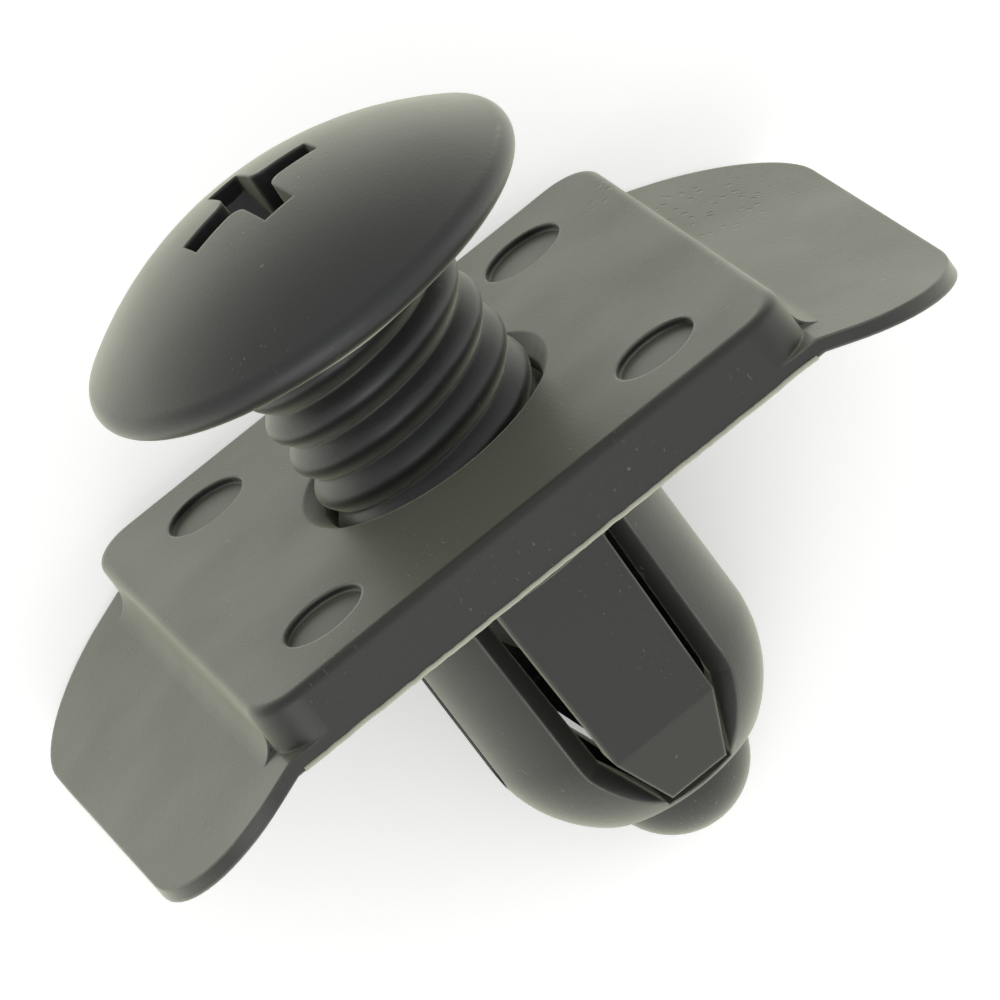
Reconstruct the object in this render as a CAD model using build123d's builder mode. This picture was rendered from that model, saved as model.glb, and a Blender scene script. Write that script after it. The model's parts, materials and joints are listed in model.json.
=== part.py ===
"""Plastic push rivet: a winged grommet, and the screw pin that is pushed into it.

Sizes are in millimetres. Each piece is drawn upright round the Z axis, with its
heights counted from the plate's seating face, so what enters the panel is below
zero. At the end both are laid down as the rivet comes to rest on a table, on the
rims of its wings and the foot of one tongue. The origin stays the middle of the
seating face, and the rivet's axis leans up from there to the head.
"""
import os
from math import atan, atan2, ceil, cos, degrees, radians, sin, sqrt, tan

from build123d import *

os.makedirs("parts", exist_ok=True)

# %% Sizes of the plate and its wings
plate_length = 20.8
plate_width = 21.3
plate_thickness = 2.25
plate_corner = 1.6
plate_edge = 0.35
mark_radius = 1.46
mark_depth = 0.26
mark_x = 6.6
mark_y = 7.1
wing_reach = 5.4
wing_fall = 2.05
wing_thickness = 0.5
wing_corner = 4.4
wing_foot = 0.7

# %% Sizes of the barrel, its legs and its tongues
barrel_radius = 5.08
collar_length = 2.35
barrel_length = 11.85
barrel_taper = 3.5
barrel_end_radius = 3.4
nose_radius = 2.55
nose_drop = 0.35
leg_relief = 0.16
leg_slit_width = 1.5
leg_slit_foot = 2.8
leg_slit_round = 0.7
leg_land = 3.5
leg_land_angle = 58.0
tongue_width = 4.3
tongue_waist = 3.95
tongue_end_width = 2.2
tongue_taper = 2.4
tongue_face = 4.6
tongue_end_face = 3.85
tongue_slit = 0.3
tongue_foot_wall = 0.2

# %% Sizes of the screw pin
head_radius = 8.0
head_dome = 3.05
head_rim = 0.62
head_raised = 6.9
head_under_angle = 20.5
thread_crest = 4.05
thread_root = 3.62
thread_pitch = 1.36
thread_starts = 2
tip_radius = 1.5
cross_span = 5.1
cross_arm = 1.2
cross_corner = 0.5
cross_end_wall = 0.6
cross_floor_angle = 50.0
cross_well_radius = 0.95
cross_depth = 3.2
cross_turn = 7.0

# %% Clearances and seats
thread_clearance = 0.1
tip_clearance = 0.3
head_clearance = 0.1
mouth_chamfer = 0.55

# %% Sizes that follow from those
wing_slope = wing_fall / wing_reach
wing_tip_x = plate_length / 2 + wing_reach
wing_sheet_height = wing_thickness * sqrt(1 + wing_slope**2)
bore_radius = thread_crest + thread_clearance
mouth_radius = bore_radius + mouth_chamfer
leg_radius = barrel_radius - leg_relief
barrel_straight = barrel_length - barrel_taper
leg_slit_end = barrel_length - leg_slit_foot
tongue_length = barrel_length - tongue_slit - tongue_foot_wall
tongue_straight = tongue_length - tongue_taper
cavity_floor = barrel_length - tongue_slit
cone_foot = tip_radius + tip_clearance
land_depth = 2 * (barrel_radius - leg_land)

# The head's dome is a sphere that runs tangent into the round rim.
rim_height = plate_thickness + head_raised
rim_x = head_radius - head_rim
dome_drop = (rim_x**2 - (head_dome - head_rim) ** 2) / (2 * (head_dome - head_rim))
dome_radius = dome_drop + head_dome
dome_angle = degrees(atan2(rim_x, dome_drop))
apex_height = rim_height + head_dome

# The cone under the head leaves the rim and stops the pin at the plate's mouth.
under_x = rim_x + head_rim * sin(radians(head_under_angle))
under_height = rim_height - head_rim * cos(radians(head_under_angle))


def head_underside(radius):
    """Height of the head's under cone at a radius, with the pin raised."""
    return under_height - (under_x - radius) * tan(radians(head_under_angle))


neck_height = head_underside(bore_radius)
pin_travel = head_underside(mouth_radius) - plate_thickness - head_clearance
shank_tip = pin_travel + tip_clearance - cavity_floor
taper_foot = pin_travel + tip_clearance - barrel_straight

# The thread is built of equal pieces, none of them more than one turn high.
thread_lead = thread_pitch * thread_starts
piece_count = ceil((neck_height - taper_foot) / thread_lead)
piece_height = (neck_height - taper_foot) / piece_count
piece_twist = 360 * piece_height / thread_lead
piece_places = [
    Location((0, 0, taper_foot + i * piece_height), (0, 0, i * piece_twist))
    for i in range(piece_count)
]


def resting_lean():
    """Angle between the rivet's axis and the table that it lies on."""
    lean = radians(30)
    for _ in range(12):
        swing = atan(wing_slope * tan(lean))
        rim_y = plate_width / 2 - wing_corner * (1 - cos(swing))
        rim_z = -wing_slope * (wing_reach - wing_corner * (1 - sin(swing)))
        lean = atan2(rim_y - tongue_end_face, rim_z + tongue_length)
    return lean


# %% The plane that the seating face comes to lie in
lean = resting_lean()
seat = Plane(origin=(0, 0, 0), x_dir=(1, 0, 0), z_dir=(0, cos(lean), sin(lean)))

# %% The wings: thin sheets that slope down from both ends of the plate
with BuildPart() as wings:
    with BuildSketch(Plane.XZ):
        root = plate_length / 2
        spare = wing_reach + wing_thickness
        with BuildLine():
            Polyline(
                (0, 0),
                (root, 0),
                (root + spare, -wing_slope * spare),
                (root + spare, wing_sheet_height - wing_slope * spare),
                (root, wing_sheet_height),
                (0, wing_sheet_height),
                close=True,
            )
        make_face()
        mirror(about=Plane.YZ)
    extrude(amount=plate_width / 2, both=True)
    with BuildSketch(Plane.XY):
        RectangleRounded(2 * wing_tip_x, plate_width, wing_corner)
    extrude(amount=2 * wing_fall, both=True, mode=Mode.INTERSECT)
    # A round foot runs along the straight part of each end of the plate.
    with BuildSketch(Plane.XZ):
        foot_top = (root, wing_sheet_height + wing_foot)
        foot_end = (root + wing_foot, wing_sheet_height - wing_slope * wing_foot)
        with BuildLine():
            TangentArc(foot_top, foot_end, tangent=(0, -1))
            Polyline(
                foot_end,
                (root + wing_foot, wing_thickness / 2 - wing_slope * wing_foot),
                (root - wing_foot, wing_thickness / 2),
                (root - wing_foot, wing_sheet_height + wing_foot),
                foot_top,
            )
        make_face()
        mirror(about=Plane.YZ)
    extrude(amount=plate_width / 2 - plate_corner, both=True)

# %% The barrel: a collar, four legs that meet in a round nose, and its windows


def tongue_outline(gap, top):
    """Front outline of a tongue, or with a gap round it that of its window."""
    half_root = tongue_width / 2 + gap
    half_waist = tongue_waist / 2 + gap
    half_end = tongue_end_width / 2 + gap / 2
    foot = -tongue_length - gap
    left = [(-half_root, top), (-half_waist, -tongue_straight), (-half_end, foot)]
    right = [(half_end, foot), (half_waist, -tongue_straight), (half_root, top)]
    return left + right


def across_leg_slit(edge):
    """Whether an edge crosses the wall at the lower end of a leg's slit."""
    spot = edge.center()
    at_end = abs(spot.Z + leg_slit_end) < tongue_slit / 10
    at_side = abs(abs(spot.Y) - leg_slit_width / 2) < tongue_slit / 10
    return at_end and at_side


with BuildPart() as barrel:
    with BuildSketch(Plane.XZ):
        shoulder_x = sqrt(nose_radius**2 - nose_drop**2)
        with BuildLine():
            Polyline((0, 0), (leg_radius, 0), (leg_radius, -barrel_straight))
            TangentArc(
                (leg_radius, -barrel_straight),
                (barrel_end_radius, -barrel_length),
                tangent=(0, -1),
            )
            Line((barrel_end_radius, -barrel_length), (shoulder_x, -barrel_length - nose_drop))
            nose_start = -degrees(atan2(nose_drop, shoulder_x))
            CenterArc((0, -barrel_length), nose_radius, nose_start, -90 - nose_start)
            Line((0, -barrel_length - nose_radius), (0, 0))
        make_face()
    revolve(axis=Axis.Z)
    # Each window is cut through, with sloping lands on the legs at both sides.
    with BuildSketch(Plane.XZ):
        with BuildLine():
            Polyline(*tongue_outline(tongue_slit, -collar_length), close=True)
        make_face()
    extrude(amount=2 * barrel_radius, both=True, mode=Mode.SUBTRACT)
    with BuildSketch(Plane.XZ.offset(leg_land)):
        with BuildLine():
            Polyline(*tongue_outline(tongue_slit, -collar_length), close=True)
        make_face()
    near_land = extrude(amount=land_depth, taper=-leg_land_angle, mode=Mode.SUBTRACT)
    mirror(near_land, about=Plane.XZ, mode=Mode.SUBTRACT)
    with BuildSketch(Plane.YZ):
        with Locations((0, -(leg_slit_end + collar_length) / 2)):
            Rectangle(leg_slit_width, leg_slit_end - collar_length)
    extrude(amount=2 * barrel_radius, both=True, mode=Mode.SUBTRACT)
    with BuildSketch(Plane.XY):
        Circle(barrel_radius)
        Circle(bore_radius, mode=Mode.SUBTRACT)
    extrude(amount=-collar_length)
    fillet(barrel.edges().filter_by(across_leg_slit), leg_slit_round)

# %% The tongues: flat springs that hang from the collar inside their windows
with BuildPart() as tongues:
    with BuildSketch(Plane.YZ):
        with BuildLine():
            Polyline(
                (0, -collar_length / 2),
                (tongue_face, -collar_length / 2),
                (tongue_face, -tongue_straight),
                (tongue_end_face, -tongue_length),
                (0, -tongue_length),
                close=True,
            )
        make_face()
        mirror(about=Plane.YZ)
    extrude(amount=tongue_width, both=True)
    with BuildSketch(Plane.XZ):
        with BuildLine():
            Polyline(*tongue_outline(0, -collar_length / 2), close=True)
        make_face()
    extrude(amount=barrel_radius, both=True, mode=Mode.INTERSECT)

# %% The grommet is one moulding: plate, wings, barrel and tongues together
with BuildPart() as upright_grommet:
    with BuildSketch(Plane.XY):
        RectangleRounded(plate_length, plate_width, plate_corner)
    extrude(amount=plate_thickness)
    fillet(upright_grommet.faces().sort_by(Axis.Z)[-1].edges(), plate_edge)
    add(wings.part)
    with BuildSketch(Plane.XY.offset(plate_thickness)):
        with GridLocations(2 * mark_x, 2 * mark_y, 2, 2):
            Circle(mark_radius)
    extrude(amount=-mark_depth, mode=Mode.SUBTRACT)
    add(barrel.part)
    add(tongues.part)
    # The bore widens at its mouth and narrows to a blind cone for the pin's tip.
    with BuildSketch(Plane.XZ):
        with BuildLine():
            Polyline(
                (0, 2 * plate_thickness),
                (mouth_radius + plate_thickness, 2 * plate_thickness),
                (mouth_radius, plate_thickness),
                (bore_radius, plate_thickness - mouth_chamfer),
                (bore_radius, -barrel_straight),
                (cone_foot, -tongue_length),
                (cone_foot, -cavity_floor),
                (0, -cavity_floor),
                close=True,
            )
        make_face()
    revolve(axis=Axis.Z, mode=Mode.SUBTRACT)

# %% One piece of the thread: two overlapping circles, twisted as they rise
with BuildPart() as thread_piece:
    with BuildSketch() as thread_section:
        crest_offset = (thread_crest**2 - thread_root**2) / (2 * thread_crest)
        with PolarLocations(crest_offset, thread_starts):
            Circle(thread_crest - crest_offset)
    add(
        Solid.extrude_linear_with_rotation(
            thread_section.sketch.faces()[0],
            center=(0, 0, 0),
            normal=(0, 0, piece_height),
            angle=piece_twist,
        )
    )

# %% The shank: such pieces on top of each other, and a plain tapered tip
with BuildPart() as shank:
    with Locations(*piece_places):
        add(thread_piece.part)
    # Below the thread the tip tapers like the blind cone that it ends in.
    with BuildSketch(Plane.XZ):
        with BuildLine():
            Polyline(
                (0, shank_tip),
                (tip_radius, shank_tip),
                (thread_root - tip_clearance, taper_foot),
                (0, taper_foot),
                close=True,
            )
        make_face()
    revolve(axis=Axis.Z)

# %% The cross recess for a screwdriver, as the solid that it cuts away
with BuildPart() as recess:
    top_plane = Plane.XY.offset(apex_height).rotated((0, 0, cross_turn))
    with BuildSketch(top_plane) as cross:
        Rectangle(cross_span, cross_arm)
        Rectangle(cross_arm, cross_span)
        inner = cross.vertices().group_by(lambda v: round(v.center().length, 3))[0]
        fillet(inner, cross_corner)
    extrude(amount=-cross_depth, taper=3)
    # A cone slopes the four floors down to a round well in the middle.
    with BuildSketch(Plane.XZ):
        reach = cross_span / 2
        dome_sag = dome_radius - sqrt(dome_radius**2 - reach**2)
        end_depth = dome_sag + cross_end_wall
        spread = tan(radians(cross_floor_angle))
        well_depth = end_depth + (reach - cross_well_radius) / spread
        with BuildLine():
            Polyline(
                (0, apex_height),
                (reach + end_depth * spread, apex_height),
                (cross_well_radius, apex_height - well_depth),
                (cross_well_radius, apex_height - cross_depth),
                (0, apex_height - cross_depth),
                close=True,
            )
        make_face()
    revolve(axis=Axis.Z, mode=Mode.INTERSECT)

# %% The screw pin is one moulding: domed head, threaded shank and tapered tip
with BuildPart() as upright_pin:
    with BuildSketch(Plane.XZ):
        dome_tangent = 90 - dome_angle
        rim_start = head_under_angle - 90
        with BuildLine():
            CenterArc((0, rim_height - dome_drop), dome_radius, dome_tangent, dome_angle)
            CenterArc((rim_x, rim_height), head_rim, rim_start, dome_tangent - rim_start)
            Polyline(
                (under_x, under_height),
                (bore_radius, neck_height),
                (0, neck_height),
                (0, apex_height),
            )
        make_face()
    revolve(axis=Axis.Z)
    add(shank.part)
    add(recess.part, mode=Mode.SUBTRACT)

# %% Both pieces are laid down as the rivet rests
with BuildPart() as grommet:
    with Locations(seat):
        add(upright_grommet.part)
grommet.part.label = "grommet"
export_step(grommet.part, "parts/grommet.step")

with BuildPart() as screw_pin:
    with Locations(seat):
        add(upright_pin.part)
screw_pin.part.label = "screw_pin"
export_step(screw_pin.part, "parts/screw_pin.step")
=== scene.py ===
# %% [markdown]
# # A plastic push rivet, dressed for its portrait
# The rivet's solid shape is packed already: a winged grommet and the screw pin in it.
# This lesson loads that shape, gives it satin moulded nylon with the small marks that
# moulding and handling leave, lays it on a pale floor and points a long lens at it.

import json
import math

import bpy
from mathutils import Matrix, Vector


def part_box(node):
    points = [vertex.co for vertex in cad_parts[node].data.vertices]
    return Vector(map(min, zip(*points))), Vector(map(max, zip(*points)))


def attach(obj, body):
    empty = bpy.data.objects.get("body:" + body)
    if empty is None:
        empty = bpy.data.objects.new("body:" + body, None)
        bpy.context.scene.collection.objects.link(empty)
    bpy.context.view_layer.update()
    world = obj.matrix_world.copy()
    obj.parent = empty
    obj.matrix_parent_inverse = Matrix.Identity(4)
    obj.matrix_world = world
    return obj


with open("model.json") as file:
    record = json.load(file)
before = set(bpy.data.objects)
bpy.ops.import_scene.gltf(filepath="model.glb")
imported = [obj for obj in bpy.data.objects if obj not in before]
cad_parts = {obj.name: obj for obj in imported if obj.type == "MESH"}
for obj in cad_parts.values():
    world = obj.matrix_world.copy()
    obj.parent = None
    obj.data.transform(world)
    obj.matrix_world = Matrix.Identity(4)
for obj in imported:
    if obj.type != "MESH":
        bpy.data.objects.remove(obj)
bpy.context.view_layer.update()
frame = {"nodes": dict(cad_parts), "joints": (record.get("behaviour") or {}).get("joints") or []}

# %% [markdown]
# ## Where things are on the rivet
# The rivet lies on its side, so its own axis leans up from the table. The lean could
# be typed in as a number, but the pin's joint already runs along that axis, so it is
# read from there. Every place is then written in the rivet's own upright terms, in
# millimetres: x along the wings, y across them, and the height above the seating face.

# %% Places on the leaning rivet
MM = 0.001
PLATE_THICKNESS = 2.25
PLATE_HALF_LENGTH = 10.4
PLATE_HALF_WIDTH = 10.65
PIT_PATCH = (11.6, 6.0, 0.2)
EDGE_ROUNDING = 0.16

axis_up = -Vector(frame["joints"][0]["axis"]).normalized()
along_wings = Vector((1, 0, 0))
across_wings = axis_up.cross(along_wings)
rivet_to_world = Matrix((along_wings, across_wings, axis_up)).transposed()


def on_rivet(x, y, height):
    """World point, in metres, of a place on the upright rivet in millimetres."""
    return rivet_to_world @ Vector((x, y, height)) * MM


print("lean of the axis", round(math.degrees(math.asin(axis_up.z)), 2), "degrees")

# %% [markdown]
# ## Two helpers
# Colours are easier to pick as the screen shows them, so one function turns a hex
# colour into the linear numbers that a shader needs. The other adds a node, sets its
# inputs and links them, so that each material below reads as a short recipe.

# %% Colour and node helpers


def paint(hex_colour):
    """Linear RGBA of a colour written as on a screen, such as 26262a."""
    channels = [int(hex_colour[i : i + 2], 16) / 255 for i in (0, 2, 4)]
    linear = [c / 12.92 if c <= 0.04045 else ((c + 0.055) / 1.055) ** 2.4 for c in channels]
    return (*linear, 1.0)


def put(tree, kind, settings=None, **inputs):
    """Adds a node; each input is a value, or an output socket to link to it."""
    node = tree.nodes.new(kind)
    for name, value in (settings or {}).items():
        setattr(node, name, value)
    for name, value in inputs.items():
        key = int(name[1:]) if name[1:].isdigit() else name.replace("_", " ")
        if isinstance(value, bpy.types.NodeSocket):
            tree.links.new(value, node.inputs[key])
        else:
            node.inputs[key].default_value = value
    return node


SMOOTH = {"interpolation_type": "SMOOTHSTEP"}
MULTIPLY = {"operation": "MULTIPLY"}
MAXIMUM = {"operation": "MAXIMUM"}
print("a mid grey is", [round(c, 3) for c in paint("808080")[:3]], "in linear light")

# %% [markdown]
# ## Satin moulded nylon
# The rivet is moulded in black nylon against a lightly blasted mould. To the eye that
# is nearly black where a face turns to you, and a dusty grey-green where you look
# along it. A flat dark colour would miss that, so the shader has a thin sheen on a
# rough gloss. Grain, lighter edges, scratches, specks and a patch of pits come from
# noises, each with a size in real millimetres, so they stay right from every side.
# The lighter edges are rubbing wear together with a painted edge highlight.

# %% Rubbed edges, with a painted edge highlight


def rubbed_and_highlit_edges(tree, place, soft_edge):
    """Amount of rubbing and of painted edge highlight: where a rounded normal turns away from the
    true one.
    """
    true_normal = put(tree, "ShaderNodeNewGeometry").outputs["Normal"]
    agree = put(
        tree,
        "ShaderNodeVectorMath",
        {"operation": "DOT_PRODUCT"},
        _0=soft_edge,
        _1=true_normal,
    ).outputs["Value"]
    edge = put(tree, "ShaderNodeMapRange", SMOOTH, Value=agree, From_Min=0.985, From_Max=0.86)
    handled = put(tree, "ShaderNodeTexNoise", Vector=place, Scale=1 / (3.2 * MM), Detail=4.0)
    patchy = put(
        tree,
        "ShaderNodeMapRange",
        SMOOTH,
        Value=handled.outputs["Fac"],
        From_Min=0.36,
        From_Max=0.6,
        To_Min=0.35,
    )
    return put(tree, "ShaderNodeMath", MULTIPLY, _0=edge.outputs[0], _1=patchy.outputs[0])


print("edges are found within", EDGE_ROUNDING, "mm")

# %% Scratches


def scratches(tree, place):
    """Long thin streaks, kept only where a coarse noise lets them through."""
    streak = put(
        tree,
        "ShaderNodeMapping",
        Vector=place,
        Rotation=(0.5, 0.2, 0.9),
        Scale=(1 / (0.12 * MM), 1 / (2.6 * MM), 1 / (0.12 * MM)),
    )
    lines = put(tree, "ShaderNodeTexNoise", Vector=streak.outputs[0], Scale=1.0, Detail=1.0)
    thin = put(
        tree,
        "ShaderNodeMapRange",
        SMOOTH,
        Value=lines.outputs["Fac"],
        From_Min=0.69,
        From_Max=0.76,
    )
    places = put(tree, "ShaderNodeTexNoise", Vector=place, Scale=1 / (4.5 * MM), Detail=4.0)
    some = put(
        tree,
        "ShaderNodeMapRange",
        SMOOTH,
        Value=places.outputs["Fac"],
        From_Min=0.5,
        From_Max=0.64,
    )
    return put(tree, "ShaderNodeMath", MULTIPLY, _0=thin.outputs[0], _1=some.outputs[0])


print("scratches are about 0.12 mm wide and 2.6 mm long")

# %% Specks of dust


def specks(tree, place):
    """Sparse dots of dust, each about a seventh of a millimetre across."""
    dots = put(tree, "ShaderNodeTexVoronoi", Vector=place, Scale=1 / (1.15 * MM))
    dot = put(
        tree,
        "ShaderNodeMapRange",
        SMOOTH,
        Value=dots.outputs["Distance"],
        From_Min=0.075,
        From_Max=0.045,
    )
    luck = put(tree, "ShaderNodeSeparateColor", Color=dots.outputs["Color"])
    few = put(
        tree,
        "ShaderNodeMapRange",
        SMOOTH,
        Value=luck.outputs[0],
        From_Min=0.72,
        From_Max=0.76,
    )
    return put(tree, "ShaderNodeMath", MULTIPLY, _0=dot.outputs[0], _1=few.outputs[0])


print("one cell in four, each 1.15 mm wide, holds a speck")

# %% Pits in one wing


def pits(tree, place):
    """A patch of tiny hollows on one wing, where the melt met the mould's end."""
    away = put(tree, "ShaderNodeVectorMath", {"operation": "DISTANCE"}, _0=place)
    away.inputs[1].default_value = on_rivet(*PIT_PATCH)
    patch = put(
        tree,
        "ShaderNodeMapRange",
        SMOOTH,
        Value=away.outputs["Value"],
        From_Min=3.8 * MM,
        From_Max=1.2 * MM,
    )
    cells = put(tree, "ShaderNodeTexVoronoi", Vector=place, Scale=1 / (0.4 * MM))
    hollow = put(
        tree,
        "ShaderNodeMapRange",
        SMOOTH,
        Value=cells.outputs["Distance"],
        From_Min=0.34,
        From_Max=0.18,
    )
    luck = put(tree, "ShaderNodeSeparateColor", Color=cells.outputs["Color"])
    half = put(
        tree,
        "ShaderNodeMapRange",
        SMOOTH,
        Value=luck.outputs[1],
        From_Min=0.5,
        From_Max=0.56,
    )
    chosen = put(tree, "ShaderNodeMath", MULTIPLY, _0=hollow.outputs[0], _1=half.outputs[0])
    return put(tree, "ShaderNodeMath", MULTIPLY, _0=chosen.outputs[0], _1=patch.outputs[0])


print("pits lie within 3.8 mm of", PIT_PATCH)

# %% [markdown]
# ## Putting the nylon together
# The marks lighten the colour; along the edges that lightening is rubbing wear and a
# painted edge highlight. Three bumps follow each other: a broad swell from
# cooling, the fine grain of the blasted mould, and what is cut into the skin. The
# Bevel node rounds the light on every moulded edge by a sixth of a millimetre. A
# bevel on the mesh would do that too, but the imported mesh is left as it is.

# %% The nylon recipe


def moulded_nylon(name, face, rubbed_and_highlit_colour, grain_mm, wear_and_edge_highlight):
    """Black nylon from a blasted mould: a rough gloss, a dusty sheen, small marks, and lighter
    edges that are part wear and part painted highlight.
    """
    material = bpy.data.materials.new(name)
    material.use_nodes = True
    tree = material.node_tree
    tree.nodes.clear()
    place = put(tree, "ShaderNodeTexCoord").outputs["Object"]
    soft_edge = put(tree, "ShaderNodeBevel", {"samples": 6}, Radius=EDGE_ROUNDING * MM).outputs[0]

    rub_and_edge_highlight = rubbed_and_highlit_edges(tree, place, soft_edge).outputs[0]
    scratch = scratches(tree, place).outputs[0]
    speck = specks(tree, place).outputs[0]
    pit = pits(tree, place).outputs[0]

    # Lighter edges in the second colour: rubbing wear mixed with a painted edge highlight.
    worn_and_highlit = put(tree, "ShaderNodeMath", MULTIPLY, _0=rub_and_edge_highlight, _1=wear_and_edge_highlight).outputs[0]
    faint = put(tree, "ShaderNodeMath", MULTIPLY, _0=scratch, _1=0.3).outputs[0]
    dust = put(tree, "ShaderNodeMath", MULTIPLY, _0=speck, _1=0.4).outputs[0]
    light = put(tree, "ShaderNodeMath", MAXIMUM, _0=faint, _1=dust).outputs[0]
    marks = put(tree, "ShaderNodeMath", MAXIMUM, _0=worn_and_highlit, _1=light).outputs[0]
    tint = put(tree, "ShaderNodeMix", {"data_type": "RGBA"}, _0=marks)
    tint.inputs[6].default_value = paint(face)
    tint.inputs[7].default_value = paint(rubbed_and_highlit_colour)

    cloud = put(tree, "ShaderNodeTexNoise", Vector=place, Scale=1 / (5.0 * MM), Detail=4.0)
    satin = put(
        tree,
        "ShaderNodeMapRange",
        Value=cloud.outputs["Fac"],
        From_Min=0.3,
        From_Max=0.7,
        To_Min=0.36,
        To_Max=0.46,
    )

    swell = put(tree, "ShaderNodeTexNoise", Vector=place, Scale=1 / (1.9 * MM), Detail=2.0)
    grain = put(tree, "ShaderNodeTexNoise", Vector=place, Scale=1 / (grain_mm * MM), Detail=3.0)
    cut_in = put(tree, "ShaderNodeMath", MAXIMUM, _0=scratch, _1=pit)
    broad = put(
        tree,
        "ShaderNodeBump",
        Height=swell.outputs["Fac"],
        Distance=0.012 * MM,
        Strength=0.22,
        Normal=soft_edge,
    )
    fine = put(
        tree,
        "ShaderNodeBump",
        Height=grain.outputs["Fac"],
        Distance=0.009 * MM,
        Strength=0.6,
        Normal=broad.outputs[0],
    )
    skin = put(
        tree,
        "ShaderNodeBump",
        {"invert": True},
        Height=cut_in.outputs[0],
        Distance=0.04 * MM,
        Strength=0.7,
        Normal=fine.outputs[0],
    )

    plastic = put(
        tree,
        "ShaderNodeBsdfPrincipled",
        Base_Color=tint.outputs[2],
        Roughness=satin.outputs[0],
        Normal=skin.outputs[0],
        IOR=1.53,
        Sheen_Weight=0.75,
        Sheen_Roughness=0.4,
        Sheen_Tint=paint("d8dcc2"),
    )
    put(tree, "ShaderNodeOutputMaterial", Surface=plastic.outputs[0])
    return material


# The second colour of each nylon lightens the edges: rubbing wear and a painted edge highlight.
grommet_nylon = moulded_nylon("grommet_nylon", "151513", "7c7c70", 0.16, 0.75)
pin_nylon = moulded_nylon("pin_nylon", "121415", "6c6c62", 0.13, 0.5)
print("materials", grommet_nylon.name, pin_nylon.name)

# %% [markdown]
# ## Dress the two mouldings
# The grommet and the pin come from two moulds, so each wears its own nylon, a touch
# apart in colour and grain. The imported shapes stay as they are, because they are
# already the true solids; only their materials change.

# %% Give each node its nylon


def dress(node, material):
    """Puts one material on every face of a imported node."""
    mesh = frame["nodes"][node].data
    mesh.materials.clear()
    mesh.materials.append(material)
    print(node, "wears", material.name, "on", len(mesh.polygons), "faces")


dress("grommet", grommet_nylon)
dress("screw_pin", pin_nylon)

# %% [markdown]
# ## The flash line
# Where the two halves of the mould met, a ragged thread of plastic is left along the
# plate's lower edges. It could be drawn as a bump, but it catches the light as a thing
# of its own, so it is a mesh: Geometry Nodes run a thin round profile along a path and
# let a noise push it in and out. Its sizes and its seed are inputs by name. The flash
# is real, but its light grey colour is a painted highlight along those edges.

# %% A tree that grows flash along a path
flash_tree = bpy.data.node_groups.new("flash_along_edge", "GeometryNodeTree")
wanted = {
    "Geometry": "NodeSocketGeometry",
    "Width": "NodeSocketFloat",
    "Ragged": "NodeSocketFloat",
    "Seed": "NodeSocketFloat",
    "Material": "NodeSocketMaterial",
}
for label, kind in wanted.items():
    flash_tree.interface.new_socket(label, in_out="INPUT", socket_type=kind)
flash_tree.interface.new_socket("Geometry", in_out="OUTPUT", socket_type="NodeSocketGeometry")
given = flash_tree.nodes.new("NodeGroupInput").outputs

resampled = put(flash_tree, "GeometryNodeResampleCurve", Curve=given["Geometry"], Count=420)
ragged_noise = put(
    flash_tree,
    "ShaderNodeTexNoise",
    {"noise_dimensions": "4D"},
    Vector=put(flash_tree, "GeometryNodeInputPosition").outputs[0],
    W=given["Seed"],
    Scale=1 / (0.55 * MM),
    Detail=4.0,
)
centred = put(
    flash_tree,
    "ShaderNodeVectorMath",
    {"operation": "SUBTRACT"},
    _0=ragged_noise.outputs["Color"],
    _1=(0.5, 0.5, 0.5),
)
shift = put(
    flash_tree,
    "ShaderNodeVectorMath",
    {"operation": "SCALE"},
    _0=centred.outputs[0],
    Scale=given["Ragged"],
)
pushed = put(
    flash_tree,
    "GeometryNodeSetPosition",
    Geometry=resampled.outputs[0],
    Offset=shift.outputs[0],
)
profile = put(flash_tree, "GeometryNodeCurvePrimitiveCircle", Resolution=8, Radius=given["Width"])
swept = put(
    flash_tree,
    "GeometryNodeCurveToMesh",
    Curve=pushed.outputs[0],
    Profile_Curve=profile.outputs["Curve"],
    Fill_Caps=True,
)
rounded = put(flash_tree, "GeometryNodeSetShadeSmooth", Geometry=swept.outputs[0])
real = put(flash_tree, "GeometryNodeRealizeInstances", Geometry=rounded.outputs[0])
coloured = put(
    flash_tree,
    "GeometryNodeSetMaterial",
    Geometry=real.outputs[0],
    Material=given["Material"],
)
put(flash_tree, "NodeGroupOutput", Geometry=coloured.outputs[0])
print("flash tree has", len(flash_tree.nodes), "nodes")

# %% Flash along both lower edges of the plate
# Light grey colours: a painted highlight on the flash, which is the same black nylon as the
# plate.
flash_nylon_painted_highlight = moulded_nylon("flash_nylon_painted_highlight", "9c9c8c", "c4c4b4", 0.1, 0.8)
flash_keys = {
    socket.name: socket.identifier
    for socket in flash_tree.interface.items_tree
    if socket.in_out == "INPUT"
}


def flash_along(name, start, end, width, seed):
    """A ragged thread of flash between two places on the rivet."""
    curve = bpy.data.curves.new(name + "_path", "CURVE")
    curve.dimensions = "3D"
    spline = curve.splines.new("POLY")
    spline.points.add(1)
    spline.points[0].co = (*on_rivet(*start), 1.0)
    spline.points[1].co = (*on_rivet(*end), 1.0)
    path = bpy.data.objects.new(name + "_path", curve)
    bpy.context.scene.collection.objects.link(path)
    grower = path.modifiers.new("flash", "NODES")
    grower.node_group = flash_tree
    grower[flash_keys["Width"]] = width * MM
    grower[flash_keys["Ragged"]] = 1.2 * width * MM
    grower[flash_keys["Seed"]] = float(seed)
    grower[flash_keys["Material"]] = flash_nylon_painted_highlight
    bpy.context.view_layer.update()
    grown = path.evaluated_get(bpy.context.evaluated_depsgraph_get())
    mesh = bpy.data.meshes.new_from_object(grown)
    mesh.name = name
    bpy.data.objects.remove(path)
    thread = bpy.data.objects.new(name, mesh)
    bpy.context.scene.collection.objects.link(thread)
    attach(thread, "grommet_body")
    print(name, "has", len(mesh.polygons), "faces")


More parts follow.
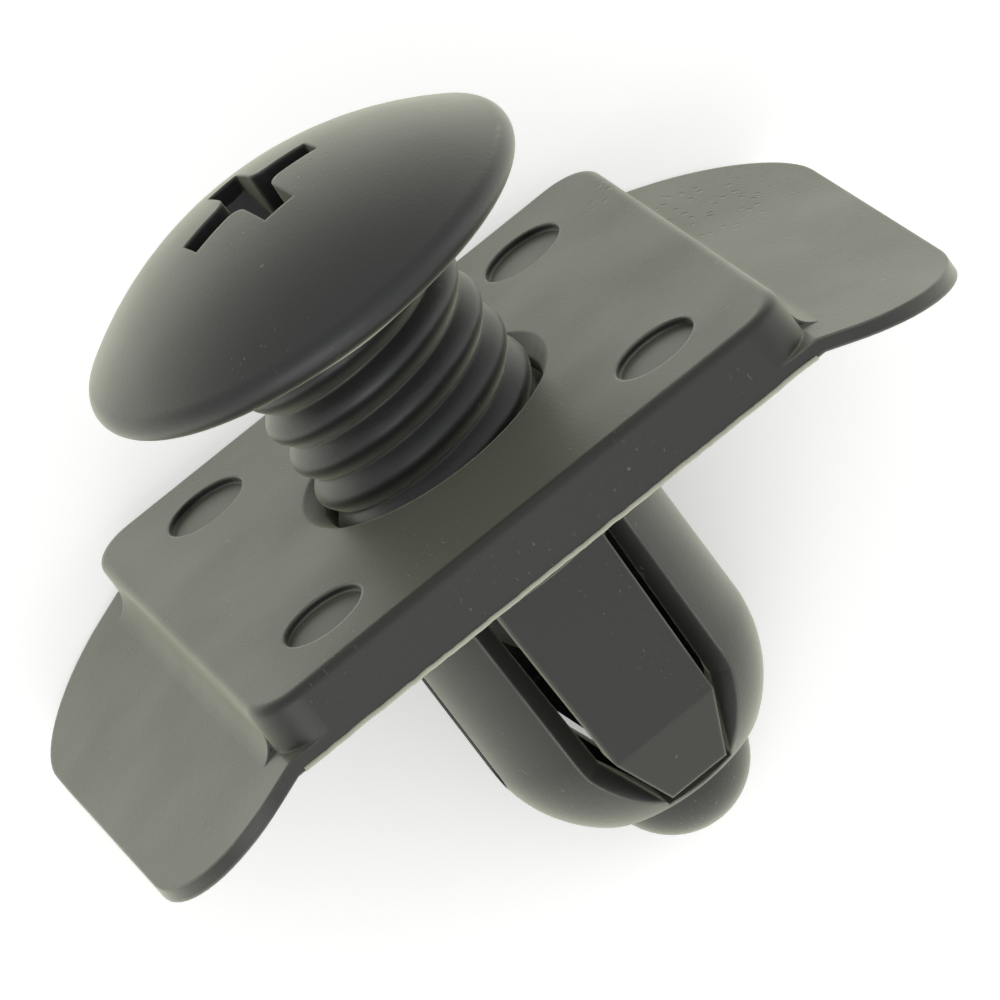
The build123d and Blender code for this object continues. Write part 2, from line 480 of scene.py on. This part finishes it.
edge_x = PLATE_HALF_LENGTH - 0.3
edge_y = PLATE_HALF_WIDTH
flash_along("flash_front", (-edge_x, -edge_y, 0.05), (edge_x, -edge_y, 0.05), 0.08, 3)
flash_along("flash_back", (-edge_x, edge_y, 0.05), (edge_x, edge_y, 0.05), 0.05, 8)

# %% [markdown]
# ## Floor
# The floor is plain white paper. It could be lit until it is white, but that would
# flood the rivet with light as well. So the paper glows only for what looks at it: the
# camera, and rays mirrored or let through by the rivet. For the camera the glow is weak,
# just enough for open paper to be white, so the soft shadow stays. The plate and the
# wings, seen at a shallow angle, mirror a stronger and slightly warm glow.

# %% White paper floor
GLOW_SEEN = 0.35
GLOW_MIRRORED = 0.7
floor_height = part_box("grommet")[0][2]
floor_mesh = bpy.data.meshes.new("studio_floor")
reach = 0.9
corners = [(-reach, -reach), (reach, -reach), (reach, reach), (-reach, reach)]
floor_mesh.from_pydata([(x, y, floor_height) for x, y in corners], [], [(0, 1, 2, 3)])
floor = bpy.data.objects.new("studio_floor", floor_mesh)
bpy.context.scene.collection.objects.link(floor)
paper = bpy.data.materials.new("white_paper")
paper.use_nodes = True
paper_tree = paper.node_tree
paper_tree.nodes.clear()
matt = put(paper_tree, "ShaderNodeBsdfDiffuse", Color=paint("f0f0ee"))
looks = put(paper_tree, "ShaderNodeLightPath").outputs
by_rivet = put(
    paper_tree,
    "ShaderNodeMath",
    MAXIMUM,
    _0=looks["Is Glossy Ray"],
    _1=looks["Is Transmission Ray"],
)
strength = put(paper_tree, "ShaderNodeMath", MULTIPLY, _0=by_rivet.outputs[0], _1=GLOW_MIRRORED)
mirrored = put(
    paper_tree,
    "ShaderNodeEmission",
    Color=paint("fbfeec"),
    Strength=strength.outputs[0],
)
seen = put(paper_tree, "ShaderNodeEmission", Color=paint("ffffff"), Strength=GLOW_SEEN)
glow = put(
    paper_tree,
    "ShaderNodeMixShader",
    _0=looks["Is Camera Ray"],
    _1=mirrored.outputs[0],
    _2=seen.outputs[0],
)
lit = put(paper_tree, "ShaderNodeAddShader", _0=matt.outputs[0], _1=glow.outputs[0])
put(paper_tree, "ShaderNodeOutputMaterial", Surface=lit.outputs[0])
floor_mesh.materials.append(paper)
print("floor at", round(floor_height / MM, 2), "mm")

# %% [markdown]
# ## Light
# A light tent, a little dimmer on the far side. A lamp alone would draw hard highlights
# on the satin head, while an even tent would leave it flat. Tent and lamps together
# are kept near the level at which a colour looks as it is written, though the sides
# that face away or lie under the head get less. Two weak soft boxes shape the edges.

# %% Light tent
NEAR_LEVEL = 1.0
FAR_LEVEL = 0.72
world = bpy.data.worlds.new("light_tent")
bpy.context.scene.world = world
world.use_nodes = True
sky = world.node_tree
sky.nodes.clear()
direction = put(sky, "ShaderNodeTexCoord").outputs["Generated"]
far_side = put(sky, "ShaderNodeSeparateXYZ", Vector=direction).outputs["Y"]
level = put(
    sky,
    "ShaderNodeMapRange",
    SMOOTH,
    Value=far_side,
    From_Min=-0.7,
    From_Max=0.6,
    To_Min=NEAR_LEVEL,
    To_Max=FAR_LEVEL,
)
tent = put(sky, "ShaderNodeBackground", Color=paint("ffffff"), Strength=level.outputs[0])
put(sky, "ShaderNodeOutputWorld", Surface=tent.outputs[0])
print("the far side has", FAR_LEVEL, "of the light of the near side")

# %% Soft boxes


def soft_box(name, towards, distance, size, watts):
    """A square soft light that faces the rivet from a direction."""
    lamp = bpy.data.lights.new(name, "AREA")
    lamp.shape = "SQUARE"
    lamp.size = size
    lamp.energy = watts
    box = bpy.data.objects.new(name, lamp)
    bpy.context.scene.collection.objects.link(box)
    spot = Vector(towards).normalized()
    box.location = spot * distance
    box.rotation_euler = spot.to_track_quat("Z", "Y").to_euler()
    print(name, watts, "W")


soft_box("key_box", (-0.5, -0.8, 0.75), 0.5, 0.35, 0.6)
soft_box("fill_box", (0.9, -0.3, 0.35), 0.6, 0.4, 0.3)

# %% [markdown]
# ## Camera
# A long lens looks down on the rivet from almost straight above, so the rivet seems
# to stand on its barrel. The camera's axes are written in the rivet's upright terms
# and then laid down with it, which keeps the view right if the lean ever changes.

# %% Camera
CAMERA_DISTANCE = 276.99
CAMERA_SHIFT = (2.379, -2.237)
LENS_LENGTH = 314.9
camera_up = Vector((0.6247, 0.2357, 0.7445)).normalized()
camera_back = Vector((0.7767, -0.2862, -0.5611)).cross(camera_up).normalized()
camera_right = camera_up.cross(camera_back)
shift_right, shift_up = CAMERA_SHIFT
camera_spot = CAMERA_DISTANCE * camera_back + shift_right * camera_right + shift_up * camera_up
camera_spot.z += PLATE_THICKNESS

lens = bpy.data.cameras.new("portrait_lens")
lens.sensor_width = 36
lens.lens = LENS_LENGTH
lens.clip_start = 0.01
lens.clip_end = 5
camera = bpy.data.objects.new("portrait_camera", lens)
bpy.context.scene.collection.objects.link(camera)
turn = Matrix([rivet_to_world @ v for v in (camera_right, camera_up, camera_back)])
camera.matrix_world = Matrix.Translation(on_rivet(*camera_spot)) @ turn.transposed().to_4x4()
bpy.context.scene.camera = camera
bpy.context.scene.view_settings.view_transform = "Standard"
print("camera at", [round(v, 4) for v in camera.location])
